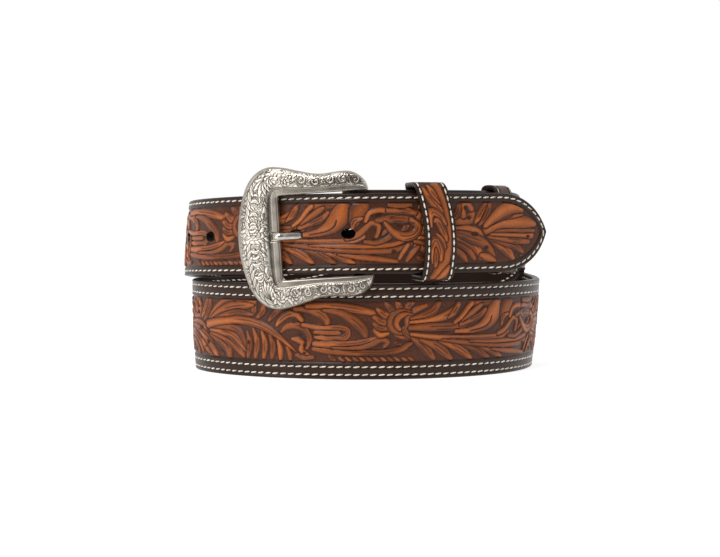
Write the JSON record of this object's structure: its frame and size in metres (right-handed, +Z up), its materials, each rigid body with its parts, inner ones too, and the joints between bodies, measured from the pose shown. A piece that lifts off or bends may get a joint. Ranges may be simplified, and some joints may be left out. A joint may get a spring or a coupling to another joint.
{
  "type": "western tooled belt",
  "caption": "Tooled leather belt with an antiqued silver buckle, fastened and wound into a standing ring, with its tip through leather keepers.",
  "frame": {"origin": "on the surface that the belt stands on, below the middle of its box", "axes": "+Z up, the buckle at the -Y side, the tip of the belt towards +X"},
  "size_m": [0.1852, 0.145, 0.1013],
  "materials": {
    "strap_leather": "hand-dyed tooled leather, espresso borders, semi-gloss",
    "keeper_leather": "tooled leather with dark dyed edges, semi-gloss",
    "antique_silver": "antiqued silver plate on cast alloy",
    "tongue_silver": "polished silver plate"
  },
  "bodies": {
    "root": {"belt_strap": "strap_leather", "buckle_frame": "antique_silver", "buckle_tongue": "tongue_silver", "keeper_front": "keeper_leather", "keeper_back": "keeper_leather"}
  },
  "joints": []
}
